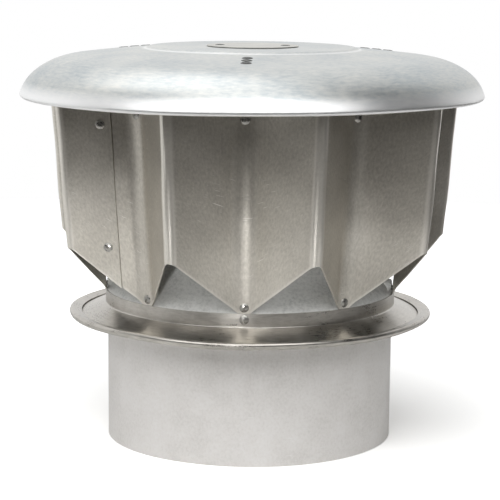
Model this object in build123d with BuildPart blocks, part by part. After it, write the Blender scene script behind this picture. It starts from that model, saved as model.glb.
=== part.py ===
from build123d import *
import os
from math import asin, atan2, cos, degrees, radians, sin, sqrt, tan

os.makedirs("parts", exist_ok=True)

# Chimney cap of riveted sheet metal. Lengths are in millimetres and angles in degrees.
# The origin is the centre of the collar's foot and Z points up the flue.
# Azimuth 0 is the front, -Y, and grows towards +X.

# Fits shared by all pieces
sheet_gap = 0.1  # between two sheets that lie on each other
sheet_overrun = 1.0  # how far a cutting shape reaches past a sheet

# Collar, the spigot that goes into the flue pipe
collar_radius = 101.5
collar_sheet = 0.7
spigot_length = 86.4
bead_rise = 3.6
bead_reach = 1.8
bead_round = 1.2
collar_tuck = 14.1  # straight wall above the stop bead

# Deflector cone that narrows the flue under the wind shield
cone_sheet = 0.6
cone_flange = 15.2
cone_slope = 55.0
cone_rise = 44.0
cone_lip = 7.0
cone_bend = 3.0
lug_radius = 3.9

# Storm skirt around the collar
skirt_sheet = 0.7
band_height = 9.9
band_reveal = 0.2  # cone flange left showing above the band
skirt_crease = 1.5
flare_reach = 21.2
flare_drop = 9.2
hem_width = 5.0
hem_height = 5.7
hem_round = 2.8
hem_return = 2.1
hem_lap = 8.6
hem_fall = 2.3
flare_round = 6.0

# Fluted wind shield
lobe_count = 9
shield_sheet = 0.7
shield_height = 135.0
shield_seat = 0.1  # height of the tips above the cone's shoulder
ridge_foot_reach = 37.6  # ridges outside the valleys, at the tips
ridge_top_radius = 151.6
valley_top_radius = 114.8
land_width = 10.0
ridge_fold = 5.0
valley_fold = 5.0
notch_rise = 41.0
notch_round = 6.0
tip_width = 8.0
seam_lobe = -2  # the lobe whose right panel carries the lapped seam
seam_place = 0.75  # share of the panel from its ridge to the seam's edge
seam_lap = 16.0
seam_inset = 8.0
seam_rivet_rise = 38.7  # lower seam rivet above the tips
seam_rivet_drop = 12.8  # upper seam rivet below the shield's top edge

# Ring inside the tops of the valleys
ring_sheet = 1.0
ring_below = 10.0  # ring below and above the shield's top edge
ring_above = 12.0

# Dome
dome_sheet = 0.8
dome_radius = 162.7
dome_lift = 3.1  # rim's widest line above the shield's top edge
rim_curve = 32.9
rim_angle = 71.4  # slope at the rim's widest line
shoulder_curve = 52.5
shoulder_angle = 38.5  # slope where the shoulder meets the rim
crown_angle = 7.3  # slope where the crown meets the shoulder
plateau_radius = 71.5
step_width = 5.0
step_drop = 1.45
step_share = 0.48  # share of the drop at the middle of the step
curl_inset = 4.1
curl_drop = 1.5
spinning_hole = 12.0

# Plate over the hole in the dome's middle
plate_radius = 32.3
plate_sheet = 0.8
plate_clinch_radius = 23.0
plate_clinch_azimuths = (-90.0, 90.0)

# Hangers that carry the dome
hanger_sheet = 1.5
hanger_width = 20.0
hanger_toe = 86.5
hanger_bend = 5.0
hanger_stop = 1.2  # leg's end above the ring's lower edge
hanger_lobes = (0, 3, 6)

# Pressed round clinches
clinch_window = 2.6
clinch_button = 2.2
clinch_proud = 0.3
clinch_radii = (92.0, 102.0, 111.5)

# Blind rivets
rivet_head = 3.2
rivet_crown = 1.1
rivet_shank = 1.6
rivet_bore = 0.95
rivet_fit = 0.1
mandrel_fit = 0.1
tail_radius = 2.4
tail_length = 3.0
tail_round = 0.8
mandrel_recess = 0.35
mandrel_head = 1.5
mandrel_head_length = 1.2
tip_rivet_rise = 3.8
top_rivet_drop = 5.4
skirt_rivet_drop = 3.9
ring_rivet_drop = 5.5
ring_rivet_spread = 6.0

# Heights and radii that follow from the sizes above
lobe_pitch = 360.0 / lobe_count
half_pitch = lobe_pitch / 2
bead_top = spigot_length + bead_rise
cone_foot = bead_top + sheet_gap
cone_shoulder = cone_foot + cone_flange
flange_radius = collar_radius + sheet_gap + cone_sheet
band_radius = flange_radius + sheet_gap + skirt_sheet
band_top = cone_shoulder - band_reveal
band_foot = band_top - band_height
shield_foot = cone_shoulder + shield_seat
shield_top = shield_foot + shield_height
valley_foot_radius = flange_radius + sheet_gap + shield_sheet
ridge_foot_radius = valley_foot_radius + ridge_foot_reach
valley_slope = (valley_top_radius - valley_foot_radius) / shield_height
valley_lean = degrees(atan2(valley_top_radius - valley_foot_radius, shield_height))
throat_radius = flange_radius - cone_rise / tan(radians(cone_slope))


def at(azimuth, radius, height):
    """Point at an azimuth from the front, a distance from the axis and a height"""
    turn = radians(azimuth)
    return Vector(radius * sin(turn), -radius * cos(turn), height)


def valley_radius(height):
    """Distance from the axis to a valley's outer face"""
    return valley_foot_radius + (height - shield_foot) * valley_slope


def bent_sheet(points, radii, thickness, side, plane=Plane.XZ):
    """Section of a bent sheet from one of its faces, in the plane of radius and height"""
    with BuildSketch(plane) as section:
        with BuildLine() as face_line:
            Polyline(*points)
            for corner, radius in zip(points[1:-1], radii):
                fillet(face_line.vertices().sort_by_distance(corner)[0], radius)
            offset(amount=thickness, side=side)
        make_face()
    return section.sketch


def seat(azimuth, radius, height, lean=0.0):
    """Place of a rivet on a wall: its Z points out of the wall, tipped down by the lean"""
    turn = radians(azimuth)
    tip = radians(lean)
    outward = Vector(cos(tip) * sin(turn), -cos(tip) * cos(turn), -sin(tip))
    across = Vector(cos(turn), sin(turn), 0)
    return Plane(at(azimuth, radius, height), x_dir=across, z_dir=outward).location


def drill(places, radius, depth):
    """Round holes through the wall at each place"""
    with Locations(*places):
        Cylinder(radius, 2 * depth, mode=Mode.SUBTRACT)


# Places of the rivets
tip_height = shield_foot + tip_rivet_rise
top_rivet_height = shield_top - top_rivet_drop
skirt_rivet_height = band_top - skirt_rivet_drop
ring_foot = shield_top - ring_below
ring_top = shield_top + ring_above
ring_rivet_height = ring_top - ring_rivet_drop
hanger_azimuths = [lobe_pitch * lobe for lobe in hanger_lobes]
rivet_hole = rivet_shank + rivet_fit

tip_seats = [
    seat(lobe_pitch * lobe, valley_radius(tip_height), tip_height, valley_lean)
    for lobe in range(lobe_count)
]
top_seats = [
    seat(lobe_pitch * lobe, valley_radius(top_rivet_height), top_rivet_height, valley_lean)
    for lobe in range(lobe_count)
]
skirt_seats = [seat(azimuth, band_radius, skirt_rivet_height) for azimuth in hanger_azimuths]


# Collar: rolled spigot with a pressed stop bead, its top tucked inside the cone's flange
collar_points = [
    (collar_radius, 0),
    (collar_radius, spigot_length),
    (collar_radius + bead_reach, spigot_length + bead_rise / 2),
    (collar_radius, bead_top),
    (collar_radius, bead_top + collar_tuck),
]
with BuildPart() as collar:
    bead_bends = [bead_round / 2, bead_round, bead_round / 2]
    revolve(bent_sheet(collar_points, bead_bends, collar_sheet, Side.LEFT), axis=Axis.Z)
    drill(skirt_seats, rivet_hole, band_radius - collar_radius + collar_sheet + sheet_overrun)
collar.part.label = "collar"
export_step(collar.part, "parts/collar.step")


# Deflector cone: a flange around the collar, a sloping wall and a short upright throat
lug_end = flange_radius - (tip_rivet_rise + lug_radius) / tan(radians(cone_slope))
lug_length = valley_foot_radius - shield_sheet - sheet_gap - lug_end + cone_sheet + sheet_overrun
cone_points = [
    (flange_radius, cone_foot),
    (flange_radius, cone_shoulder),
    (throat_radius, cone_shoulder + cone_rise),
    (throat_radius, cone_shoulder + cone_rise + cone_lip),
]
lug_seats = [place * Location((0, 0, -shield_sheet - sheet_gap)) for place in tip_seats]
with BuildPart() as deflector_cone:
    revolve(bent_sheet(cone_points, [cone_bend, cone_bend], cone_sheet, Side.LEFT), axis=Axis.Z)
    with Locations(*lug_seats):
        Cylinder(lug_radius, lug_length, align=(Align.CENTER, Align.CENTER, Align.MAX))
    drill(tip_seats, rivet_hole, lug_length + shield_sheet + sheet_gap + sheet_overrun)
    drill(skirt_seats, rivet_hole, band_radius - collar_radius + collar_sheet + sheet_overrun)
deflector_cone.part.label = "deflector_cone"
export_step(deflector_cone.part, "parts/deflector_cone.step")


# Storm skirt: an upright band, a flare and an edge rolled up over itself
band_inner = band_radius - skirt_sheet
hem_start = band_inner + flare_reach
hem_floor = band_foot - flare_drop
hem_radius = hem_start + hem_width
skirt_points = [
    (band_inner, band_top),
    (band_inner, band_foot),
    (hem_start, hem_floor),
    (hem_radius, hem_floor),
    (hem_radius, hem_floor + hem_height),
    (hem_radius - hem_lap, hem_floor + hem_height - hem_fall),
]
skirt_bends = [skirt_crease, flare_round, hem_round, hem_return]
with BuildPart() as storm_skirt:
    revolve(bent_sheet(skirt_points, skirt_bends, skirt_sheet, Side.LEFT), axis=Axis.Z)
    drill(skirt_seats, rivet_hole, band_radius - collar_radius + collar_sheet + sheet_overrun)
storm_skirt.part.label = "storm_skirt"
export_step(storm_skirt.part, "parts/storm_skirt.step")


# Wind shield: one fluted sheet that leans outwards, with a lapped and riveted seam
def star(height):
    """Corners of the shield's outer face at a height, two for each valley and one for each ridge"""
    rise = (height - shield_foot) / shield_height
    ridge = ridge_foot_radius + (ridge_top_radius - ridge_foot_radius) * rise
    corners = []
    for lobe in range(lobe_count):
        azimuth = lobe_pitch * lobe
        across = Vector(cos(radians(azimuth)), sin(radians(azimuth)), 0) * (land_width / 2)
        middle = at(azimuth, valley_radius(height), height)
        corners += [middle - across, middle + across, at(azimuth + half_pitch, ridge, height)]
    return corners


def inset(corners, depth):
    """The same corners moved towards the axis, so that every side moves by the depth"""
    moved = []
    for place, corner in enumerate(corners):
        before = (corner - corners[place - 1]).normalized()
        after = (corners[(place + 1) % len(corners)] - corner).normalized()
        normal_before = Vector(-before.Y, before.X, 0)
        normal_after = Vector(-after.Y, after.X, 0)
        spread = 1 + normal_before.dot(normal_after)
        moved.append(corner + (normal_before + normal_after) * (depth / spread))
    return moved


seam_ridge = 3 * (seam_lobe % lobe_count) + 2


def seam_point(height, back, depth):
    """Point of the seam panel, so far back from the seam's edge and so deep under its plane"""
    corners = star(height)
    ridge = corners[seam_ridge]
    run = corners[(seam_ridge + 1) % len(corners)] - ridge
    along = run.normalized()
    inward = Vector(-along.Y, along.X, 0)
    return ridge + along * (run.length * seam_place - back) + inward * depth


def seam_raise(height, back):
    """How far the upper sheet stands off the panel's plane"""
    corners = star(height)
    run = (corners[(seam_ridge + 1) % len(corners)] - corners[seam_ridge]).length * seam_place
    return shield_sheet * (run - back) / run


def folded_face(corners, folds):
    """Flat face with its corners rounded, each by its own fold's radius"""
    points = [(corner.X, corner.Y) for corner in corners]
    with BuildSketch() as flat:
        with BuildLine():
            Polyline(*points, close=True)
        make_face()
        for radius in sorted(set(folds) - {0}):
            near = [point for point, fold in zip(points, folds) if fold == radius]
            fillet([flat.vertices().sort_by_distance(point)[0] for point in near], radius)
    return flat.sketch


def shield_section(height):
    """Section of the shield at a height, as a ring with a step at each edge of the seam"""
    outer = star(height)
    inner = inset(outer, shield_sheet)
    outer_step = [seam_point(height, 0, -shield_sheet), seam_point(height, 0, 0)]
    lifted = shield_sheet - seam_raise(height, seam_lap)
    inner_step = [seam_point(height, seam_lap, lifted), seam_point(height, seam_lap, shield_sheet)]
    outer_folds = [valley_fold, valley_fold, ridge_fold] * lobe_count
    inner_folds = [valley_fold + shield_sheet] * 2 + [ridge_fold - shield_sheet]
    inner_folds = inner_folds * lobe_count
    cut = seam_ridge + 1
    with BuildSketch(Plane.XY.offset(height)) as section:
        add(folded_face(outer[:cut] + outer_step + outer[cut:], outer_folds[:cut] + [0, 0] + outer_folds[cut:]))
        add(
            folded_face(inner[:cut] + inner_step + inner[cut:], inner_folds[:cut] + [0, 0] + inner_folds[cut:]),
            mode=Mode.SUBTRACT,
        )
    return section.sketch


def seam_seat(height):
    """Place of a seam rivet, square to the raised sheet"""
    middle = seam_point(height, seam_inset, -seam_raise(height, seam_inset))
    across = seam_point(height, 0, -shield_sheet) - middle
    up = seam_point(height + 1, seam_inset, -seam_raise(height + 1, seam_inset)) - middle
    return Plane(middle, x_dir=across, z_dir=across.cross(up)).location


seam_seats = [seam_seat(shield_foot + seam_rivet_rise), seam_seat(shield_top - seam_rivet_drop)]
notch_half = valley_foot_radius * sin(radians(half_pitch)) - tip_width / 2 * cos(radians(half_pitch))
notch_run = notch_rise / notch_half
with BuildPart() as wind_shield:
    loft([shield_section(shield_foot), shield_section(shield_top)], ruled=True)
    for lobe in range(lobe_count):
        azimuth = lobe_pitch * lobe + half_pitch
        with BuildSketch(Plane(seat(azimuth, valley_foot_radius / 2, 0))):
            with BuildLine():
                Polyline(
                    (0, shield_foot + notch_rise),
                    (notch_half + sheet_overrun, shield_foot - sheet_overrun * notch_run),
                    (-notch_half - sheet_overrun, shield_foot - sheet_overrun * notch_run),
                    close=True,
                )
            apex = make_face().vertices().sort_by(Axis.Z)[-1]
            fillet(apex, notch_round)
        extrude(amount=ridge_top_radius, mode=Mode.SUBTRACT)
    drill(tip_seats, rivet_hole, shield_sheet + sheet_overrun)
    drill(top_seats, rivet_hole, shield_sheet + sheet_overrun)
    drill(seam_seats, rivet_hole, 2 * shield_sheet + sheet_overrun)
wind_shield.part.label = "wind_shield"
export_step(wind_shield.part, "parts/wind_shield.step")


# Support ring: a band that leans with the valleys and joins their tops
ring_outset = shield_sheet / cos(radians(valley_lean)) + sheet_gap


def ring_rivet_seats(lobe):
    """Places of the two rivets that hold a hanger to the ring, above the shield's top edge"""
    wall = valley_radius(ring_rivet_height) - ring_outset
    middle = seat(lobe_pitch * lobe, wall, ring_rivet_height, valley_lean)
    return [middle * Location((side * ring_rivet_spread, 0, 0)) for side in (-1, 1)]


ring_points = [
    (valley_radius(ring_foot) - ring_outset, ring_foot),
    (valley_radius(ring_top) - ring_outset, ring_top),
]
with BuildPart() as support_ring:
    with BuildSketch(Plane.XZ):
        with BuildLine():
            Line(*ring_points)
            offset(amount=ring_sheet, side=Side.LEFT)
        make_face()
    revolve(axis=Axis.Z)
    drill(top_seats, rivet_hole, shield_sheet + sheet_gap + ring_sheet + sheet_overrun)
    for lobe in hanger_lobes:
        drill(ring_rivet_seats(lobe), rivet_hole, ring_sheet + sheet_overrun)
support_ring.part.label = "support_ring"
export_step(support_ring.part, "parts/support_ring.step")


# Dome: its outer face runs from the hole over the plateau, the step and three arcs to a curled rim
def fall(angle):
    """Direction outwards that drops by an angle"""
    return (cos(radians(angle)), -sin(radians(angle)))


def on_arc(centre, radius, angle):
    """Point of an arc where its slope is the angle"""
    return (centre[0] + radius * sin(radians(angle)), centre[1] + radius * cos(radians(angle)))


dome_foot = shield_top + dome_lift
rim_end = (dome_radius, dome_foot)
rim_centre = on_arc(rim_end, -rim_curve, rim_angle)
rim_start = on_arc(rim_centre, rim_curve, shoulder_angle)
shoulder_centre = on_arc(rim_start, -shoulder_curve, shoulder_angle)
shoulder_start = on_arc(shoulder_centre, shoulder_curve, crown_angle)
step_radius = plateau_radius + step_width
crown_curve = shoulder_start[0] / sin(radians(crown_angle))
crown_centre = on_arc(shoulder_start, -crown_curve, crown_angle)
crown_start_angle = degrees(asin(step_radius / crown_curve))
crown_start = on_arc(crown_centre, crown_curve, crown_start_angle)
plateau_height = crown_start[1] + step_drop


def dome_height(radius, depth):
    """Height of the dome at a distance from the axis outside the step, at a depth under its outer face"""
    centre, curve = crown_centre, crown_curve
    if radius > on_arc(shoulder_start, -depth, crown_angle)[0]:
        centre, curve = shoulder_centre, shoulder_curve
    if radius > on_arc(rim_start, -depth, shoulder_angle)[0]:
        centre, curve = rim_centre, rim_curve
    return centre[1] + sqrt((curve - depth) ** 2 - (radius - centre[0]) ** 2)


clinch_places = [
    Location(at(azimuth, radius, dome_height(radius, dome_sheet)))
    for azimuth in hanger_azimuths
    for radius in clinch_radii
]
plate_foot = plateau_height + sheet_gap
plate_places = [
    Location(at(azimuth, plate_clinch_radius, plateau_height)) for azimuth in plate_clinch_azimuths
]
step_middle = (plateau_radius + step_width / 2, plateau_height - step_drop * step_share)
with BuildPart() as dome:
    with BuildSketch(Plane.XZ):
        with BuildLine():
            Line((spinning_hole, plateau_height), (plateau_radius, plateau_height))
            step_arc = TangentArc((plateau_radius, plateau_height), step_middle, tangent=fall(0))
            TangentArc(step_middle, crown_start, tangent=step_arc % 1)
            TangentArc(crown_start, shoulder_start, tangent=fall(crown_start_angle))
            TangentArc(shoulder_start, rim_start, tangent=fall(crown_angle))
            TangentArc(rim_start, rim_end, tangent=fall(shoulder_angle))
            curl_end = (dome_radius - curl_inset, dome_foot - curl_drop)
            TangentArc(rim_end, curl_end, tangent=fall(rim_angle))
            offset(amount=dome_sheet, side=Side.RIGHT)
        make_face()
    revolve(axis=Axis.Z)
    drill(clinch_places, clinch_window, dome_sheet + sheet_overrun)
    with Locations(*plate_places):
        Cylinder(
            clinch_button,
            sheet_gap + plate_sheet + clinch_proud,
            align=(Align.CENTER, Align.CENTER, Align.MIN),
        )
dome.part.label = "dome"
export_step(dome.part, "parts/dome.step")


# Centre plate: a disc clinched over the hole in the dome's middle
with BuildPart() as centre_plate:
    with BuildSketch(Plane.XY.offset(plate_foot)):
        Circle(plate_radius)
    extrude(amount=plate_sheet)
    drill(plate_places, clinch_window, plate_sheet + sheet_overrun)
centre_plate.part.label = "centre_plate"
export_step(centre_plate.part, "parts/centre_plate.step")


# Hangers: straps that stand inside the ring and turn inwards under the dome
ring_inner = valley_radius(ring_foot) - ring_outset - ring_sheet / cos(radians(valley_lean))
strap_gap = ring_inner - sqrt(ring_inner**2 - (hanger_width / 2) ** 2) + sheet_gap


def leg_radius(height):
    """Distance from the axis to the outer face of a hanger's leg"""
    return ring_inner - strap_gap + (height - ring_foot) * valley_slope


corner_radius = leg_radius(shoulder_start[1])
hanger_points = [
    (hanger_toe, dome_height(hanger_toe, dome_sheet) - sheet_gap),
    (corner_radius, dome_height(corner_radius, dome_sheet) - sheet_gap),
    (leg_radius(ring_foot + hanger_stop), ring_foot + hanger_stop),
]


def hanger(lobe):
    """One strap with three raised clinch buttons, holes for one top rivet and two ring rivets"""
    azimuth = lobe_pitch * lobe
    turn = radians(azimuth)
    upright = Plane((0, 0, 0), x_dir=(sin(turn), -cos(turn), 0), z_dir=(-cos(turn), -sin(turn), 0))
    with BuildPart() as strap:
        strip = bent_sheet(hanger_points, [hanger_bend], hanger_sheet, Side.RIGHT, upright)
        extrude(strip, amount=hanger_width / 2, both=True)
        for radius in clinch_radii:
            button_foot = dome_height(radius, dome_sheet) - sheet_gap - hanger_sheet / 2
            with Locations(at(azimuth, radius, button_foot)):
                Cylinder(
                    clinch_button,
                    dome_height(radius, 0) + clinch_proud - button_foot,
                    align=(Align.CENTER, Align.CENTER, Align.MIN),
                )
        reach = shield_sheet + ring_sheet + strap_gap + hanger_sheet + sheet_overrun
        drill([top_seats[lobe]] + ring_rivet_seats(lobe), rivet_hole, reach)
    return strap.part


for side, lobe in zip(("front", "right", "left"), hanger_lobes):
    strap = hanger(lobe)
    strap.label = f"hanger_{side}"
    export_step(strap, f"parts/hanger_{side}.step")


# Blind rivets, each a headed tube with a swollen tail and the broken stem of its mandrel
def rivet(grip):
    """Tube of a set rivet, its head on the outer sheet and its tail a grip below"""
    with BuildPart() as body:
        with BuildSketch(Plane.XZ):
            with BuildLine():
                EllipticalCenterArc((0, 0), rivet_head, rivet_crown, start_angle=0, arc_size=90)
                Polyline(
                    (0, rivet_crown),
                    (0, -grip - tail_length),
                    (tail_radius, -grip - tail_length),
                    (tail_radius, -grip),
                    (rivet_shank, -grip),
                    (rivet_shank, 0),
                    (rivet_head, 0),
                )
            make_face()
        revolve(axis=Axis.Z)
        fillet(body.edges().group_by(Axis.Z)[0], tail_round)
        Cylinder(rivet_bore, 2 * (grip + tail_length + rivet_crown), mode=Mode.SUBTRACT)
    return body.part


def mandrel(grip):
    """Broken stem inside a rivet, with its head under the tail"""
    with BuildPart() as stem:
        with Locations((0, 0, rivet_crown - mandrel_recess)):
            Cylinder(
                rivet_bore - mandrel_fit,
                rivet_crown - mandrel_recess + grip + tail_length + mandrel_fit,
                align=(Align.CENTER, Align.CENTER, Align.MAX),
            )
        with Locations((0, 0, -grip - tail_length - mandrel_fit)):
            Cylinder(mandrel_head, mandrel_head_length, align=(Align.CENTER, Align.CENTER, Align.MAX))
        fillet(stem.edges().group_by(Axis.Z)[0], mandrel_head_length / 2)
    return stem.part


def rivet_row(name, places, grips):
    """One node of rivets and one of their mandrels, set at the places"""
    with BuildPart() as rivets:
        for place, grip in zip(places, grips):
            with Locations(place):
                add(rivet(grip))
    rivets.part.label = f"{name}_rivets"
    export_step(rivets.part, f"parts/{name}_rivets.step")
    with BuildPart() as mandrels:
        for place, grip in zip(places, grips):
            with Locations(place):
                add(mandrel(grip))
    mandrels.part.label = f"{name}_rivet_mandrels"
    export_step(mandrels.part, f"parts/{name}_rivet_mandrels.step")


top_grip = shield_sheet + sheet_gap + ring_sheet + sheet_gap
strap_grip = strap_gap + hanger_sheet
top_grips = [top_grip + strap_grip if lobe in hanger_lobes else top_grip for lobe in range(lobe_count)]
skirt_grip = band_radius - collar_radius + collar_sheet + sheet_gap
ring_seats = [place for lobe in hanger_lobes for place in ring_rivet_seats(lobe)]
rivet_row("tip", tip_seats, [shield_sheet + sheet_gap + lug_length] * lobe_count)
rivet_row("valley_top", top_seats, top_grips)
rivet_row("seam", seam_seats, [2 * shield_sheet + sheet_gap] * len(seam_seats))
rivet_row("skirt", skirt_seats, [skirt_grip] * len(skirt_seats))
rivet_row("hanger", ring_seats, [ring_sheet + strap_grip + sheet_gap] * len(ring_seats))
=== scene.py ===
import bmesh
import bpy
import numpy as np
from mathutils import Matrix, Vector


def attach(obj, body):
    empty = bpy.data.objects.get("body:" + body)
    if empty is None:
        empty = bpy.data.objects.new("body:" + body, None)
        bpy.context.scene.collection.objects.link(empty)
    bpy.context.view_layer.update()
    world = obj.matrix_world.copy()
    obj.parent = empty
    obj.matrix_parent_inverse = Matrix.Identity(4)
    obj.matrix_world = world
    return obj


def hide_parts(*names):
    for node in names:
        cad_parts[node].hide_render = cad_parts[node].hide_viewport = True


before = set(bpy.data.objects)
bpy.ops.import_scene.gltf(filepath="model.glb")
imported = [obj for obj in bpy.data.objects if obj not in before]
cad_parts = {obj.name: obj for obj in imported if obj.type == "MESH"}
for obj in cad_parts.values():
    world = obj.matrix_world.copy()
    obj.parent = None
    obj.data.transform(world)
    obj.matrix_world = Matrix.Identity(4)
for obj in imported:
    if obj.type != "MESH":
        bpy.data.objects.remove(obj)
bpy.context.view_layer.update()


# Collar: a light grey aluminium sheet rolled into a spigot, with a pressed stop bead near its top.
# It stands inside the cone's flange and is held there by the skirt's rivets.
collar_radius = 101.5
collar_sheet = 0.7


def rounded_path(corners, bends, step):
    """Path of radius and height through the corners, each inner corner an arc of its own bend radius,
    with a point about every step. An arc starts before its corner by the bend times the tangent of half
    the turn. Returns the points and the direction of travel at each."""
    corners = np.asarray(corners, float)
    legs = np.diff(corners, axis=0)
    legs /= np.linalg.norm(legs, axis=1)[:, None]
    points, ways = [], []
    start = corners[0]
    for place, bend in enumerate(bends):
        corner, before, after = corners[place + 1], legs[place], legs[place + 1]
        cross = before[0] * after[1] - before[1] * after[0]
        turn = np.arctan2(cross, before @ after)
        setback = bend * np.tan(abs(turn) / 2)
        arc_from = corner - before * setback
        count = max(2, int(np.linalg.norm(arc_from - start) / step) + 1)
        share = np.linspace(0, 1, count, endpoint=False)[:, None]
        points.append(start + (arc_from - start) * share)
        ways.append(np.repeat(before[None], count, axis=0))
        side = np.array([-before[1], before[0]]) * np.sign(turn)
        centre = arc_from + side * bend
        angle = np.linspace(0, turn, max(5, int(abs(turn) * bend / step * 1.5) + 2))[:, None]
        spoke = arc_from - centre
        swung = np.hstack([-spoke[1] * np.ones_like(angle), spoke[0] * np.ones_like(angle)])
        points.append(centre + spoke * np.cos(angle) + swung * np.sin(angle))
        swung_way = np.array([-before[1], before[0]])
        ways.append(before * np.cos(angle) + swung_way * np.sin(angle))
        start = corner + after * setback
        points[-1] = points[-1][:-1]
        ways[-1] = ways[-1][:-1]
    count = max(2, int(np.linalg.norm(corners[-1] - start) / step) + 2)
    share = np.linspace(0, 1, count)[:, None]
    points.append(start + (corners[-1] - start) * share)
    ways.append(np.repeat(legs[-1][None], count, axis=0))
    return np.vstack(points), np.vstack(ways)


def sheet_loop(points, ways, thickness, side):
    """Closed section of a sheet: the path, then the same path moved sideways by the thickness, run back.
    Side is 1 for the left of the direction of travel and -1 for the right."""
    normals = np.column_stack([-ways[:, 1], ways[:, 0]]) * side
    back = (points + normals * thickness)[::-1]
    return np.vstack([points, back, points[:1]])


def around(section, count, wobble=None):
    """Surface of revolution in millimetres: each point of the section is carried round the axis.
    The wobble, a function of angle and section point, moves it by a little in radius and height."""
    angle = np.linspace(0, 2 * np.pi, count + 1)[:, None]
    radius = np.repeat(section[None, :, 0], count + 1, axis=0)
    height = np.repeat(section[None, :, 1], count + 1, axis=0)
    if wobble is not None:
        out, up = wobble(angle, radius, height)
        radius = radius + out
        height = height + up
    return np.dstack([radius * np.sin(angle), radius * np.cos(angle), height])


def lengths(grid):
    """Pattern coordinates in metres: the distance run along the grid's columns and along its rows"""
    run_round = np.linalg.norm(np.diff(grid, axis=0), axis=2).mean(axis=1)
    run_across = np.linalg.norm(np.diff(grid, axis=1), axis=2).mean(axis=0)
    u = np.concatenate([[0], np.cumsum(run_round)])[:, None]
    v = np.concatenate([[0], np.cumsum(run_across)])[None]
    return np.dstack(np.broadcast_arrays(u, v)) * 0.001


def sheet_piece(name, grid, wear=None, crease=35.0):
    """Mesh of a grid of points in millimetres whose last row and column repeat the first, so that it
    closes on itself. Faces are turned outwards by the sign of the volume, and points at one place are
    merged. The painted highlight is a share from 0 to 1 at each point, kept in a second map."""
    uv = lengths(grid)
    rows, columns = grid.shape[0] - 1, grid.shape[1] - 1
    i, j = np.meshgrid(np.arange(rows), np.arange(columns), indexing="ij")
    ring = np.stack([(i, j), (i + 1, j), (i + 1, j + 1), (i, j + 1)])
    vertex = (ring[:, 0] % rows) * columns + ring[:, 1] % columns
    faces = vertex.reshape(4, -1).T
    maps = [uv] if wear is None else [uv, np.dstack([wear, wear])]
    corner_maps = [each[ring[:, 0], ring[:, 1]] for each in maps]
    corner_maps = [each.reshape(4, -1, 2).transpose(1, 0, 2) for each in corner_maps]
    points = grid[:rows, :columns].reshape(-1, 3) * 0.001
    corners = points[faces]
    volume = np.einsum("ij,ij->", corners[:, 0], np.cross(corners[:, 1], corners[:, 2]))
    volume += np.einsum("ij,ij->", corners[:, 0], np.cross(corners[:, 2], corners[:, 3]))
    if volume < 0:
        faces = faces[:, ::-1]
        corner_maps = [each[:, ::-1] for each in corner_maps]
    mesh = bpy.data.meshes.new(name)
    mesh.vertices.add(len(points))
    mesh.vertices.foreach_set("co", points.ravel())
    mesh.loops.add(faces.size)
    mesh.loops.foreach_set("vertex_index", faces.ravel().astype(np.int32))
    mesh.polygons.add(len(faces))
    mesh.polygons.foreach_set("loop_start", np.arange(0, faces.size, 4, dtype=np.int32))
    mesh.update(calc_edges=True)
    for map_name, corner_map in zip(("sheet", "wear"), corner_maps):
        mesh.uv_layers.new(name=map_name).data.foreach_set("uv", corner_map.ravel())
    merged = bmesh.new()
    merged.from_mesh(mesh)
    bmesh.ops.remove_doubles(merged, verts=merged.verts, dist=1e-6)
    bmesh.ops.dissolve_degenerate(merged, edges=merged.edges, dist=1e-7)
    merged.to_mesh(mesh)
    merged.free()
    mesh.polygons.foreach_set("use_smooth", np.ones(len(mesh.polygons), bool))
    mesh.set_sharp_from_angle(angle=np.radians(crease))
    piece = bpy.data.objects.new(name, mesh)
    bpy.context.scene.collection.objects.link(piece)
    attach(piece, "root")
    return piece


def linear(code):
    """Linear colour of an sRGB hex code: a dark channel is divided by 12.92, and any other is moved up by
    0.055, divided by 1.055 and raised to the power 2.4"""
    channel = np.array([int(code[k : k + 2], 16) for k in (1, 3, 5)]) / 255
    low = channel / 12.92
    high = ((channel + 0.055) / 1.055) ** 2.4
    return (*np.where(channel <= 0.04045, low, high), 1.0)


def add(tree, kind, links=None, **settings):
    """One node with its settings, each link a value or another node's socket"""
    made = tree.nodes.new(kind)
    for key, value in settings.items():
        setattr(made, key, value)
    for key, value in (links or {}).items():
        if isinstance(value, bpy.types.NodeSocket):
            tree.links.new(value, made.inputs[key])
        else:
            made.inputs[key].default_value = value
    return made


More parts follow.
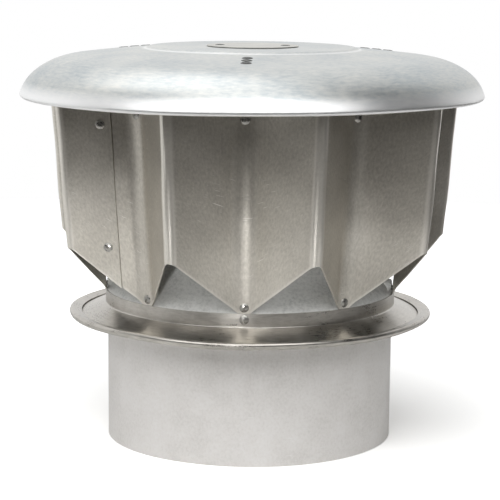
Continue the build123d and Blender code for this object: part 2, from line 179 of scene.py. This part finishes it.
def sheet_metal(name, shades, blotch, grain, stretch, rough, bump, fine=0.35, metallic=0.9):
    """Bare or zinc-coated sheet. Three shades, dark to light, run over a blend of clouds of the blotch's
    size and a finer grain, which the stretch draws out along the sheet. Fine is the grain's share in the
    blend. The roughness follows the blend too. Blotch, grain and bump are in millimetres."""
    material = bpy.data.materials.new(name)
    material.use_nodes = True
    tree = material.node_tree
    tree.nodes.clear()
    place = add(tree, "ShaderNodeTexCoord").outputs
    clouds = add(
        tree,
        "ShaderNodeTexNoise",
        {"Vector": place["Object"], "Scale": 1000 / blotch, "Detail": 5.0, "Roughness": 0.6},
    )
    drawn = add(tree, "ShaderNodeMapping", {"Vector": place["UV"], "Scale": (*stretch, 1.0)})
    grains = add(
        tree,
        "ShaderNodeTexNoise",
        {"Vector": drawn.outputs[0], "Scale": 1000 / grain, "Detail": 4.0, "Roughness": 0.65},
    )
    blend = add(tree, "ShaderNodeMix", {0: fine, 2: clouds.outputs[0], 3: grains.outputs[0]})
    colour = add(tree, "ShaderNodeValToRGB", {0: blend.outputs[0]})
    stops = colour.color_ramp.elements
    stops.new(0.5)
    for stop, level, code in zip(stops, (0.3, 0.5, 0.7), shades):
        stop.position = level
        stop.color = linear(code)
    roughness = add(
        tree, "ShaderNodeMapRange", {0: blend.outputs[0], 1: 0.35, 2: 0.65, 3: rough[0], 4: rough[1]}
    )
    relief = add(
        tree,
        "ShaderNodeBump",
        {"Strength": 1.0, "Distance": bump * 0.001, "Height": grains.outputs[0]},
    )
    shader = add(
        tree,
        "ShaderNodeBsdfPrincipled",
        {
            "Base Color": colour.outputs[0],
            "Metallic": metallic,
            "Roughness": roughness.outputs[0],
            "Normal": relief.outputs[0],
        },
    )
    add(tree, "ShaderNodeOutputMaterial", {0: shader.outputs[0]})
    return material


def tint(material, factor, code):
    """Lays a colour over what the material's base colour already gets, by the factor"""
    tree = material.node_tree
    base = tree.nodes["Principled BSDF"].inputs["Base Color"]
    under = base.links[0].from_socket
    laid = add(tree, "ShaderNodeMix", {0: factor, 6: under, 7: linear(code)}, data_type="RGBA")
    tree.links.new(laid.outputs[2], base)


def scratch(material, code, along, across, spread):
    """Short fine scratches in a colour: noise drawn out into thin lines, kept where it peaks and where a
    coarse second noise allows. Along, across and spread are a scratch's length and width and the size of
    the scratched patches, in millimetres."""
    tree = material.node_tree
    place = add(tree, "ShaderNodeTexCoord").outputs
    drawn = add(
        tree, "ShaderNodeMapping", {"Vector": place["UV"], "Scale": (1000 / along, 1000 / across, 1)}
    )
    lines = add(tree, "ShaderNodeTexNoise", {"Vector": drawn.outputs[0], "Scale": 1.0, "Detail": 1.0})
    kept = add(tree, "ShaderNodeMapRange", {0: lines.outputs[0], 1: 0.7, 2: 0.75})
    patches = add(
        tree,
        "ShaderNodeTexNoise",
        {"Vector": place["Object"], "Scale": 1000 / spread, "Detail": 0.0},
    )
    allowed = add(tree, "ShaderNodeMapRange", {0: patches.outputs[0], 1: 0.55, 2: 0.62})
    mask = add(
        tree, "ShaderNodeMath", {0: kept.outputs[0], 1: allowed.outputs[0]}, operation="MULTIPLY"
    )
    tint(material, mask.outputs[0], code)


def dress(piece, material, slot, *nodes):
    """Gives the piece its material, and lets it stand for the nodes by hiding them. The slot is not used."""
    piece.data.materials.append(material)
    if nodes:
        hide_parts(*nodes)


def collar_wobble(angle, radius, height):
    """Out of round by waves of two and five round the axis, dying out towards the bead"""
    free = np.clip((90 - height) / 90, 0, 1)
    out = free * (0.35 * np.sin(2 * angle + 0.7) + 0.18 * np.sin(5 * angle + height * 0.03))
    return out, 0 * out


collar_corners = [
    (collar_radius, 0),
    (collar_radius, 86.4),
    (collar_radius + 1.8, 88.2),
    (collar_radius, 90),
    (collar_radius, 104.1),
]
collar_path, collar_ways = rounded_path(collar_corners, [0.6, 1.2, 0.6], 4.0)
collar_section = sheet_loop(collar_path, collar_ways, collar_sheet, 1)
collar = sheet_piece("collar_sheet", around(collar_section, 256, collar_wobble))

# mill-finish aluminium: a pale, milky grey with little mirror in it, and a few bright hairline scratches.
# Its rolling grain is finer than a pixel, so it is drawn at 1.8 mm.
collar_metal = sheet_metal(
    "aluminium_sheet_mill_finish",
    ("#E2DFDB", "#F2EFEC", "#FAF8F6"),
    blotch=26,
    grain=1.8,
    stretch=(1.0, 0.8),
    rough=(0.42, 0.55),
    bump=0.03,
    fine=0.5,
    metallic=0.15,
)
scratch(collar_metal, "#FBFAF8", along=14, across=0.5, spread=40)
dress(collar, collar_metal, "collar_aluminium", "collar")


# Deflector cone: zinc-coated sheet spun to a flange, a steep wall and an upright throat.
# Small lugs pressed out of the wall carry the rivets of the wind shield's tips.
flange_radius = 102.2
cone_shoulder = 105.3
wall_rise = 44
throat_radius = flange_radius - wall_rise / np.tan(np.radians(55))
shield_foot = 105.4
tip_rivet_height = shield_foot + 3.8
half_lobe = np.pi / 9
lug_face = 101.9
lug_reach = 5.6


def lugs(angle, radius, height):
    """Round lugs at each tip: the wall goes out to the tip's inner face within 4 mm of the rivet, and the
    pull dies out smoothly over 2 mm. Apart is the distance from the lug's middle: across, the angle past
    the nearest tip times about the wall's radius, and up, a little less than the height between them."""
    turn = (angle - np.pi + half_lobe) % (2 * half_lobe) - half_lobe
    apart = np.hypot(turn * 100, (height - tip_rivet_height - 1.5) * 0.9)
    lift = np.clip((lug_reach - apart) / 2.0, 0, 1)
    lift = lift * lift * (3 - 2 * lift)
    wall = (height > cone_shoulder - 1) & (height < cone_shoulder + 12)
    out = np.where(wall, np.clip(lug_face - radius, 0, 9) * lift, 0)
    return out + 0.15 * np.sin(3 * angle + 1), 0 * out


cone_corners = [
    (flange_radius, 90.1),
    (flange_radius, cone_shoulder),
    (throat_radius, cone_shoulder + wall_rise),
    (throat_radius, cone_shoulder + wall_rise + 7),
]
cone_path, cone_ways = rounded_path(cone_corners, [3, 3], 0.9)
cone_section = sheet_loop(cone_path, cone_ways, 0.6, 1)
cone = sheet_piece("cone_sheet", around(cone_section, 360, lugs))

# dull zinc, out of the weather: a pale matt grey with soft crystal patches of about 12 mm
cone_metal = sheet_metal(
    "galvanised_steel_dull",
    ("#C4C5C1", "#E6E6E2", "#F6F6F3"),
    blotch=12,
    grain=2.2,
    stretch=(1.0, 1.0),
    rough=(0.42, 0.6),
    bump=0.04,
    fine=0.6,
    metallic=0.1,
)
dress(cone, cone_metal, "cone_steel", "deflector_cone")


# Storm skirt: a steel strip with an upright band, a flare and an edge rolled up over itself.
# It is slipped over the cone's flange, and three rivets hold the two and the collar together.
band_inner = 102.3
band_top = 105.1
hem_floor = band_top - 9.9 - 9.2


def skirt_wobble(angle, radius, height):
    """The flare's edge rises and falls by half a millimetre round the axis, more towards the hem"""
    reach = np.clip((radius - 105) / 20, 0, 1)
    up = reach * (0.4 * np.sin(3 * angle + 2.1) + 0.22 * np.sin(7 * angle + 0.4))
    return 0.25 * reach * np.sin(4 * angle + 1.2), up


skirt_corners = [
    (band_inner, band_top),
    (band_inner, band_top - 9.9),
    (band_inner + 21.2, hem_floor),
    (band_inner + 26.2, hem_floor),
    (band_inner + 26.2, hem_floor + 5.7),
    (band_inner + 17.6, hem_floor + 3.4),
]
skirt_path, skirt_ways = rounded_path(skirt_corners, [1.5, 6.0, 2.8, 2.1], 0.8)
skirt_section = sheet_loop(skirt_path, skirt_ways, 0.7, 1)
skirt = sheet_piece("skirt_sheet", around(skirt_section, 360, skirt_wobble))

# zinc that has been handled: a warm grey with a low gloss, and streaks five times as long round the strip
# as they are wide
skirt_metal = sheet_metal(
    "galvanised_steel_weathered",
    ("#98948E", "#BDB9B2", "#D8D4CE"),
    blotch=30,
    grain=1.6,
    stretch=(0.2, 1.0),
    rough=(0.24, 0.36),
    bump=0.012,
    fine=0.4,
    metallic=0.95,
)
dress(skirt, skirt_metal, "skirt_steel", "storm_skirt")


# Wind shield: one galvanised sheet folded into nine flutes, leaning outwards, lapped and riveted at one
# panel. A notch is cut under each ridge, and the tips left between the notches are riveted to the cone.
shield_height = 135.0
shield_top = shield_foot + shield_height
valley_foot_radius = 103.0
valley_top_radius = 114.8
ridge_foot_radius = 140.6
ridge_top_radius = 151.6
shield_sheet = 0.7
land_half = 5.0
land_rounded = 0.92
ridge_fold = 5.0


def flute(stretch, share, height, depth, spread):
    """Half a flute, from the middle of a valley to the middle of the ridge 20 degrees on: a narrow land, a
    wide round fold, a flat panel and the ridge's fold. Stretch says which, share how far along it. The
    panel's plane meets the land's at half the land's width, of which the fold takes up the rounded share.
    A fold is an arc that touches both planes, from a set-back of its radius times the tangent of half its
    turn. Depth goes in from the outer face, and spread lifts the sheet off it. Returns across, out."""
    rise = (height - shield_foot) / shield_height
    valley = valley_foot_radius + (valley_top_radius - valley_foot_radius) * rise
    ridge = ridge_foot_radius + (ridge_top_radius - ridge_foot_radius) * rise
    top_x, top_y = ridge * np.sin(half_lobe), ridge * np.cos(half_lobe)
    lean = np.arctan2(top_y - valley, top_x - land_half)
    way_x, way_y = np.cos(lean), np.sin(lean)
    valley_set = land_rounded * land_half
    valley_fold = valley_set / np.tan(lean / 2)
    ridge_set = ridge_fold * np.tan(lean + half_lobe)
    land_x = (land_half - valley_set) * share
    turn = lean * share
    valley_x = land_half - valley_set + valley_fold * np.sin(turn)
    valley_y = valley + valley_fold * (1 - np.cos(turn))
    from_x, from_y = land_half + way_x * valley_set, valley + way_y * valley_set
    to_x, to_y = top_x - way_x * ridge_set, top_y - way_y * ridge_set
    panel_x = from_x + (to_x - from_x) * share
    panel_y = from_y + (to_y - from_y) * share
    swing = lean - (lean + half_lobe) * share
    ridge_x = to_x + way_y * ridge_fold - ridge_fold * np.sin(swing)
    ridge_y = to_y - way_x * ridge_fold + ridge_fold * np.cos(swing)
    across = np.choose(stretch, [land_x, valley_x, panel_x, ridge_x])
    out = np.choose(stretch, [valley + 0 * share, valley_y, panel_y, ridge_y])
    slope = np.choose(stretch, [0 * lean + 0 * share, turn, lean + 0 * share, swing])
    off = spread - depth
    return across - np.sin(slope) * off, out + np.cos(slope) * off


# points along the land, the valley's fold, the panel and the ridge's fold
stretch_counts = [2, 12, 24, 8]
stretch_kind = np.concatenate([np.full(n, k) for k, n in enumerate(stretch_counts)])
stretch_share = np.concatenate([np.linspace(0, 1, n, endpoint=False) for n in stretch_counts])
rising_kind = np.append(stretch_kind, 3)
rising_share = np.append(stretch_share, 1.0)

# The seam's panel runs from the ridge at -60 degrees to the valley at -40 degrees. From the ridge to the
# lap's edge the upper sheet lifts off the panel's plane, until it lies one sheet over it, and beside the
# edge a narrow gap shows where it lies on the lower sheet. seam_place is the edge's place on the panel,
# as a share of its length from the ridge.
seam_place = 0.78
lap_edge = 1 - seam_place
lap = lap_edge + np.array([-0.016, -0.015, -0.001, 0, 0.001])
gap_depth = 0.9
kinds, shares, turns, sides, lifts = [], [], [], [], []
for lobe in range(9):
    for mirrored in (False, True):
        kind, share = rising_kind, rising_share
        lift = np.zeros(len(kind))
        if mirrored and lobe == 2:
            keep = (kind != 2) | (np.abs(share - lap_edge) > 0.02)
            order = np.argsort(np.append(kind[keep] + share[keep], 2 + lap), kind="stable")
            kind = np.append(kind[keep], [2] * 5)[order]
            share = np.append(share[keep], lap)[order]
            raised = (kind == 2) & (share >= lap_edge)
            gap = (kind == 2) & (share < lap_edge) & (share > lap_edge - 0.0155)
            lift = np.where(raised, shield_sheet * (1 - share) / seam_place, 0) - gap_depth * gap
        step = slice(None, None, -1) if mirrored else slice(None)
        kinds.append(kind[step][:-1])
        shares.append(share[step][:-1])
        lifts.append(lift[step][:-1])
        turns.append(np.full(len(kind) - 1, 40.0 * lobe + (240 if mirrored else 200)))
        sides.append(np.full(len(kind) - 1, -1.0 if mirrored else 1.0))
kinds, shares, lifts, turns, sides = (
    np.concatenate(rows + [rows[0][:1]])[:, None] for rows in (kinds, shares, lifts, turns, sides)
)
turns[-1] += 360


def shield_point(height, depth):
    """Point of the shield at heights and depths under the outer face, on every line of the perimeter.
    Shallow waves of a few tenths of a millimetre stand for the sheet's unevenness."""
    across, out = flute(kinds, shares, height, depth, lifts)
    angle = np.radians(turns)
    wave = 0.22 * np.sin(height * 0.055 + turns * 0.31) + 0.16 * np.sin(height * 0.11 + turns * 0.9 + 1.0)
    wave = wave * np.clip((height - shield_foot - 12) / 40, 0, 1)
    out = out + wave
    across = across * sides
    return np.dstack(
        np.broadcast_arrays(
            across * np.cos(angle) + out * np.sin(angle),
            across * np.sin(angle) - out * np.cos(angle),
            height,
        )
    )


notch_rise = 41.0
notch_bend = 6.0
notch_half = valley_foot_radius * np.sin(half_lobe) - 4.0 * np.cos(half_lobe)


def notch_edge(away):
    """Height of the notch's edge above the tips, so far from the notch's middle: a straight slope from
    the tip to the apex, which is an arc of the notch's bend radius"""
    slope = notch_rise / notch_half
    slant = np.sqrt(1 + slope * slope)
    tangent = notch_bend * slope / slant
    crown = notch_rise - notch_bend * slant
    straight = notch_rise - slope * away
    arc = crown + np.sqrt(np.clip(notch_bend**2 - away * away, 0, None))
    return np.clip(np.where(away < tangent, arc, straight), 0, None)


# the edge's height and its distance from the notch's middle hang on each other, so both settle in rounds
edge_height = np.full_like(shares, shield_foot)
for _ in range(12):
    across, out = flute(kinds, shares, edge_height, 0 * edge_height, lifts)
    away = np.abs(out * np.sin(half_lobe) - across * np.cos(half_lobe))
    edge_height = shield_foot + notch_edge(away)
up = np.concatenate([[0, 0.004], np.linspace(0.02, 0.98, 44), [0.996, 1]])[None]
outer_heights = edge_height + (shield_top - edge_height) * up
outer = shield_point(outer_heights, 0 * outer_heights)
inner = shield_point(outer_heights[:, ::-1], 0 * outer_heights + shield_sheet)
shield_grid = np.concatenate([outer, inner, outer[:, :1]], axis=1)

# painted highlights: a light colour laid along the ridges' folds, a little along the valleys' folds, and
# along the notches' cut edge
fold_highlight = np.where(kinds == 3, 1.0, np.where(kinds == 1, 0.1, 0.0))
fold_highlight = fold_highlight + np.zeros((1, shield_grid.shape[1]))
fold_highlight[:, [0, 1, -2, -1]] = 1.0
shield = sheet_piece("shield_sheet", shield_grid, wear=fold_highlight, crease=28.0)


def paint_highlight(material, share, code):
    """Paints a highlight: lays a light colour over the places that the piece's highlight map marks, by a
    share of its value
    """
    tree = material.node_tree
    marks = add(tree, "ShaderNodeUVMap", uv_map="wear")
    wear = add(tree, "ShaderNodeSeparateXYZ", {0: marks.outputs[0]})
    factor = add(tree, "ShaderNodeMath", {0: wear.outputs["X"], 1: share}, operation="MULTIPLY")
    tint(material, factor.outputs[0], code)


# satin zinc: a warm grey with wide faint clouds, and a grain that spreads what it mirrors into soft bands.
# The real grain is finer than a pixel, so it is drawn at 1.8 mm.
shield_metal = sheet_metal(
    "galvanised_steel_satin",
    ("#A8A39A", "#C9C4BA", "#E5E0D7"),
    blotch=70,
    grain=1.8,
    stretch=(1.0, 0.7),
    rough=(0.29, 0.37),
    bump=0.012,
    fine=0.45,
    metallic=0.78,
)
# painted highlight: a near-white laid over the marked folds and the notches' edge
paint_highlight(shield_metal, 0.55, "#F6F2EA")
scratch(shield_metal, "#F2EFE9", along=12, across=0.6, spread=45)
dress(shield, shield_metal, "shield_steel", "wind_shield")


# Dome: galvanised sheet spun over a former, with a stepped plateau, a round shoulder and a curled rim.
# It rests on three hangers whose clinch buttons come through it.
dome_radius = 162.7
dome_foot = shield_top + 3.1
dome_sheet = 0.8
spinning_hole = 12.0
plateau_radius = 71.5
step_width = 5.0
step_drop = 1.45
crown_edge = plateau_radius + step_width
crown_slope = 7.3
shoulder_slope = 38.5
rim_slope = 71.4


def dome_arc(foot, radius, from_angle, to_angle, count):
    """Arc that ends at the foot and drops ever steeper, from one slope to the other: each point lies a
    radius from the centre, at its slope's angle from the upright. Returns its points, the last left out,
    its directions, and its start."""
    centre = (
        foot[0] - radius * np.sin(np.radians(to_angle)),
        foot[1] - radius * np.cos(np.radians(to_angle)),
    )
    angle = np.radians(np.linspace(from_angle, to_angle, count))
    points = np.column_stack([centre[0] + radius * np.sin(angle), centre[1] + radius * np.cos(angle)])
    ways = np.column_stack([np.cos(angle), -np.sin(angle)])
    return points[:-1], ways[:-1], points[0]


rim_foot = np.array([dome_radius, dome_foot])
rim_points, rim_ways, rim_start = dome_arc(rim_foot, 32.9, shoulder_slope, rim_slope, 26)
shoulder_points, shoulder_ways, shoulder_start = dome_arc(rim_start, 52.5, crown_slope, shoulder_slope, 24)
crown_curve = shoulder_start[0] / np.sin(np.radians(crown_slope))
crown_angle = np.degrees(np.arcsin(crown_edge / crown_curve))
crown_points, crown_ways, crown_start = dome_arc(shoulder_start, crown_curve, crown_angle, crown_slope, 22)
plateau_height = crown_start[1] + step_drop
along = np.linspace(0, 1, 12, endpoint=False)[:, None]
eased = along * along * (3 - 2 * along)
step_points = np.hstack([plateau_radius + step_width * along, plateau_height - step_drop * eased])
step_fall = -step_drop / step_width * 6 * along * (1 - along)
step_ways = np.hstack([np.ones_like(step_fall), step_fall])
step_ways /= np.linalg.norm(step_ways, axis=1)[:, None]
flat = np.linspace(spinning_hole, plateau_radius, 14, endpoint=False)[:, None]
flat_points = np.hstack([flat, np.full_like(flat, plateau_height)])
flat_ways = np.repeat([[1.0, 0.0]], len(flat), axis=0)

# the rim curls under in an arc that starts along its slope and ends 4.1 mm further in and 1.5 mm lower
curl_from = np.radians(rim_slope)
curl_gap = np.array([4.1, 1.5])
curl_radius = curl_gap @ curl_gap / (2 * (curl_gap @ [np.sin(curl_from), np.cos(curl_from)]))
curl_centre = rim_foot - curl_radius * np.array([np.sin(curl_from), np.cos(curl_from)])
curl_end = rim_foot - curl_gap - curl_centre
curl_angle = np.linspace(curl_from, np.arctan2(curl_end[0], curl_end[1]) % (2 * np.pi), 14)[:, None]
curl_points = curl_centre + curl_radius * np.hstack([np.sin(curl_angle), np.cos(curl_angle)])
curl_ways = np.hstack([np.cos(curl_angle), -np.sin(curl_angle)])
dome_path = np.vstack([flat_points, step_points, crown_points, shoulder_points, rim_points, curl_points])
dome_ways = np.vstack([flat_ways, step_ways, crown_ways, shoulder_ways, rim_ways, curl_ways])
dome_section = sheet_loop(dome_path, dome_ways, dome_sheet, -1)


def dome_wobble(angle, radius, height):
    """Spinning leaves the shoulder uneven by a tenth of a millimetre, and the rim by a few tenths.
    The rim is bent up by a millimetre and a half on the right."""
    outer_share = np.clip((radius - 116) / 44, 0, 1) ** 1.5
    up = outer_share * (0.25 * np.sin(3 * angle + 0.5) + 0.12 * np.sin(8 * angle + radius * 0.05))
    up = up + outer_share * 0.75 * (1 + np.sin(angle))
    return 0 * up, up


# painted highlights: a bright ring laid along the step round the plateau, and a brighter band round the rim
step_highlight = np.exp(-(((dome_section[:, 0] - crown_edge + 1.0) / 1.2) ** 2))
rim_highlight = 1.4 * np.clip((dome_section[:, 0] - 158.0) / 4.0, 0, 1)
dome_highlight = np.maximum(step_highlight, rim_highlight)[None] + np.zeros((321, 1))
dome = sheet_piece("dome_sheet", around(dome_section, 320, dome_wobble), wear=dome_highlight)

# spun zinc-coated steel: a cool pale grey with a soft wide gloss, and streaks that the spinning tool draws
# out round the axis. They are finer than a pixel, so they are drawn 2.2 mm wide.
dome_metal = sheet_metal(
    "galvanised_steel_spun",
    ("#A4AEB4", "#C8CBCA", "#E0DFDA"),
    blotch=45,
    grain=2.2,
    stretch=(0.4, 1.0),
    rough=(0.35, 0.45),
    bump=0.012,
    fine=0.5,
    metallic=0.85,
)
# painted highlight: white laid over the step and the rim
paint_highlight(dome_metal, 0.6, "#FFFFFF")
dress(dome, dome_metal, "dome_steel", "dome")


# Centre plate: a zinc-coated disc clinched over the dome's spinning hole. Its edge stands off the dome by
# some four tenths of a millimetre, so that a dark line shows under its front.
plate_radius = 32.3
plate_top = plateau_height + 0.84
plate_face = [(radius, plate_top) for radius in np.linspace(0, plate_radius - 0.4, 9)]
plate_edge = [(plate_radius, plate_top - 0.15), (plate_radius, plate_top - 0.45)]
plate_back = [(26.0, plate_top - 0.75), (0.0, plate_top - 0.75), (0.0, plate_top)]
plate_section = np.array(plate_face + plate_edge + plate_back)
plate = sheet_piece("centre_disc", around(plate_section, 128))

# flat zinc sheet: an even grey, a little darker and warmer than the dome round it
plate_metal = sheet_metal(
    "galvanised_steel_flat",
    ("#A9A8A2", "#C4C3BC", "#D9D8D1"),
    blotch=20,
    grain=2.0,
    stretch=(1.0, 1.0),
    rough=(0.3, 0.42),
    bump=0.02,
    fine=0.4,
    metallic=0.8,
)
dress(plate, plate_metal, "plate_steel", "centre_plate")


# Clinch lips: the sheet is pressed up in a small ring around each round clinch, nine over the hangers
# and two on the centre plate.
lip_section = np.array(
    [(2.3, -0.5), (2.35, 0.25), (2.6, 0.4), (3.1, 0.33), (3.8, 0.0), (4.2, -0.5), (2.3, -0.5)]
)
lip_angle = np.linspace(0, 2 * np.pi, 25)[:, None]
lip_across = lip_section[:, 0] * np.cos(lip_angle)
lip_along = lip_section[:, 0] * np.sin(lip_angle)
lip_grid = np.dstack(np.broadcast_arrays(lip_across, lip_along, lip_section[:, 1]))
sphere_centre = crown_start[1] - np.sqrt(crown_curve**2 - crown_edge**2)
clinches = []
for azimuth in (0, 120, 240):
    for radius in (92.0, 102.0, 111.5):
        height = sphere_centre + np.sqrt(crown_curve**2 - radius**2)
        clinches.append(("dome_steel", azimuth, radius, height, np.arcsin(radius / crown_curve)))
for azimuth in (-90, 90):
    clinches.append(("plate_steel", azimuth, 23.0, plate_top - 0.12, 0.0))

# painted shade: the lips are coloured near black for the shade in the clinches, so that the rings read as
# small dark marks on the pale dome
lip_painted_shade = sheet_metal(
    "clinch_painted_shade",
    ("#2F3030", "#464848", "#686A69"),
    blotch=6,
    grain=1.0,
    stretch=(1.0, 1.0),
    rough=(0.3, 0.45),
    bump=0.01,
)
for number, (slot, azimuth, radius, height, slope) in enumerate(clinches):
    angle = np.radians(azimuth)
    turn = Matrix.Rotation(angle, 3, "Z") @ Matrix.Rotation(slope, 3, "X")
    centre = (radius * np.sin(angle), -radius * np.cos(angle), height)
    lip = sheet_piece(f"clinch_lip_{number}", lip_grid @ np.array(turn).T + centre)
    dress(lip, lip_painted_shade, slot)


# Rivets: aluminium blind rivets with domed heads, and the broken steel stems of their mandrels inside.
# They keep the shapes of the model.
def finish_node(node, metal):
    """Gives a node that keeps the model's shape one of the scene's materials"""
    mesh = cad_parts[node].data
    mesh.materials.clear()
    mesh.materials.append(metal)


# drawn aluminium: a smooth grey head with one small bright highlight
rivet_metal = sheet_metal(
    "aluminium_rivet",
    ("#8F8D88", "#ABA9A4", "#C6C4BF"),
    blotch=3,
    grain=0.6,
    stretch=(1.0, 1.0),
    rough=(0.22, 0.36),
    bump=0.01,
)

# broken steel stem: darker and duller than the head round it
mandrel_metal = sheet_metal(
    "steel_mandrel",
    ("#6D6B67", "#8A8883", "#A5A39E"),
    blotch=3,
    grain=0.6,
    stretch=(1.0, 1.0),
    rough=(0.3, 0.45),
    bump=0.01,
)
for row in ("tip", "valley_top", "seam", "skirt", "hanger"):
    finish_node(f"{row}_rivets", rivet_metal)
    finish_node(f"{row}_rivet_mandrels", mandrel_metal)


# Support ring and hangers: plain galvanised strip, rolled to a ring and bent to three straps under the
# dome. In the dome's shade it gives an even mid grey. They keep the shapes of the model.
strap_metal = sheet_metal(
    "galvanised_steel_strip",
    ("#83847F", "#9FA09B", "#B9B9B4"),
    blotch=14,
    grain=2.0,
    stretch=(1.0, 1.0),
    rough=(0.35, 0.5),
    bump=0.02,
    metallic=0.8,
)
for node in ("support_ring", "hanger_front", "hanger_right", "hanger_left"):
    finish_node(node, strap_metal)


# Camera: a long lens a little above the horizon and a little to the right of the front, as in the
# photograph. It is rolled by half a degree.
view_angle, view_drop, view_roll = np.radians([2.1, 9.25, 0.6])
view_distance = 1.3566
view_flat = np.array([np.sin(view_angle), -np.cos(view_angle)]) * np.cos(view_drop)
view_from = (*view_flat, np.sin(view_drop))
look_at = Vector((0, 0, 0.1314))
lens = bpy.data.cameras.new("camera")
lens.lens = 136.8
lens.shift_x = -0.001
camera = bpy.data.objects.new("camera", lens)
camera.location = look_at + Vector(view_from) * view_distance
facing = (look_at - camera.location).to_track_quat("-Z", "Y").to_matrix().to_4x4()
camera.matrix_world = Matrix.Translation(camera.location) @ facing @ Matrix.Rotation(view_roll, 4, "Z")
bpy.context.scene.collection.objects.link(camera)
bpy.context.scene.camera = camera
bpy.context.scene.view_settings.view_transform = "Standard"


# Studio: a round white table top and a white surround, dark ground in front and on the right, and three
# lamps: a large soft one overhead, a wide soft one high in front, and a low strip behind a grid that
# lights the cone through the notches. Nothing here is part of the cap.
def flat_card(name, corners):
    """Flat sheet through its corners in metres"""
    mesh = bpy.data.meshes.new(name)
    mesh.from_pydata(corners, [], [tuple(range(len(corners)))])
    card = bpy.data.objects.new(name, mesh)
    bpy.context.scene.collection.objects.link(card)
    return card


table_turn = np.linspace(0, 2 * np.pi, 97)[:-1]
table_corners = [(1.25 * np.cos(turn), 1.25 * np.sin(turn), 0) for turn in table_turn]
floor = flat_card("floor", table_corners)

# matt white paper. To the camera it also glows, more so the further it lies from the cap, so that the
# background is white and the shadow at the foot stays.
floor_paper = bpy.data.materials.new("floor_paper")
floor_paper.use_nodes = True
tree = floor_paper.node_tree
tree.nodes.clear()
paper = add(tree, "ShaderNodeBsdfDiffuse", {"Color": linear("#F6F6F5")})
lift = add(tree, "ShaderNodeBsdfDiffuse", {"Color": linear("#D2D2D2")})
spot = add(tree, "ShaderNodeTexCoord").outputs["Object"]
away = add(tree, "ShaderNodeVectorMath", {0: spot}, operation="LENGTH")
fade = add(tree, "ShaderNodeMapRange", {0: away.outputs["Value"], 1: 0.1, 2: 0.4, 3: 0.06, 4: 0.5})
glow = add(tree, "ShaderNodeEmission", {"Strength": fade.outputs[0]})
lifted = add(tree, "ShaderNodeAddShader", {0: paper.outputs[0], 1: lift.outputs[0]})
raised = add(tree, "ShaderNodeAddShader", {0: lifted.outputs[0], 1: glow.outputs[0]})
camera_ray = add(tree, "ShaderNodeLightPath").outputs["Is Camera Ray"]
shown = add(tree, "ShaderNodeMixShader", {0: camera_ray, 1: paper.outputs[0], 2: raised.outputs[0]})
add(tree, "ShaderNodeOutputMaterial", {0: shown.outputs[0]})
floor.data.materials.append(floor_paper)

# matt dark cloth that the camera doesn't see: it darkens what the steel mirrors from below
ground_cloth = bpy.data.materials.new("dark_cloth")
ground_cloth.use_nodes = True
cloth_shader = ground_cloth.node_tree.nodes["Principled BSDF"].inputs
cloth_shader["Base Color"].default_value = linear("#2E2A25")
cloth_shader["Roughness"].default_value = 1.0
for name, left, right, near, far in (("dark_front", -3, 3, -4.5, -0.42), ("dark_right", 0.5, 3, -0.42, 0.7)):
    outline = ((left, near), (right, near), (right, far), (left, far))
    ground = flat_card(name, [(*corner, 0.002) for corner in outline])
    ground.visible_camera = False
    ground.visible_shadow = False
    ground.data.materials.append(ground_cloth)

# The surround is white behind the cap and nearly black behind the camera. To the camera it is white all
# round, what the metal mirrors sees it as it is, and matt surfaces get a third of it.
world = bpy.data.worlds.new("studio")
world.use_nodes = True
bpy.context.scene.world = world
tree = world.node_tree
tree.nodes.clear()
sight = add(tree, "ShaderNodeTexCoord").outputs["Generated"]
way = add(tree, "ShaderNodeVectorMath", {0: sight, 1: (-0.35, 0.94, 0.0)}, operation="DOT_PRODUCT")
behind = add(tree, "ShaderNodeMapRange", {0: way.outputs["Value"], 1: -0.2, 2: 0.5, 3: 0.05, 4: 1.0})
camera_ray = add(tree, "ShaderNodeLightPath").outputs["Is Camera Ray"]
glare = add(tree, "ShaderNodeMix", {0: camera_ray, 2: behind.outputs[0], 3: 1.0})
room = add(tree, "ShaderNodeMath", {0: behind.outputs[0], 1: 0.32}, operation="MULTIPLY")
ray = add(tree, "ShaderNodeLightPath").outputs
mirrored = add(
    tree, "ShaderNodeMath", {0: ray["Is Camera Ray"], 1: ray["Is Glossy Ray"]}, operation="MAXIMUM"
)
seen = add(
    tree, "ShaderNodeMath", {0: mirrored.outputs[0], 1: ray["Is Transmission Ray"]}, operation="MAXIMUM"
)
strength = add(tree, "ShaderNodeMix", {0: seen.outputs[0], 2: room.outputs[0], 3: glare.outputs[0]})
surround = add(tree, "ShaderNodeBackground", {"Color": (1, 1, 1, 1), "Strength": strength.outputs[0]})
add(tree, "ShaderNodeOutputWorld", {0: surround.outputs[0]})


def lamp(name, place, size, level, aim, spread=180):
    """Rectangular soft lamp at a place in metres, turned to its aim. Its level is the brightness of its
    face, where 1 is white, and its spread the angle to which a grid before it narrows its light."""
    light = bpy.data.lights.new(name, "AREA")
    light.shape = "RECTANGLE"
    light.size, light.size_y = size
    light.energy = level * np.pi * size[0] * size[1]
    light.spread = np.radians(spread)
    made = bpy.data.objects.new(name, light)
    made.location = place
    made.rotation_euler = (Vector(aim) - Vector(place)).to_track_quat("-Z", "Y").to_euler()
    bpy.context.scene.collection.objects.link(made)
    return made


lamp("lamp_over", (-0.2, -0.1, 1.7), (2.2, 1.1), 1.4, (-0.05, 0, 0.1))
lamp("lamp_front", (-0.1, -1.42, 1.44), (3.8, 1.35), 2.2, (0, 0, 0.2))
lamp("lamp_strip", (-0.15, -1.0, 0.135), (0.9, 0.06), 0.42, (0, 0, 0.142), spread=6)
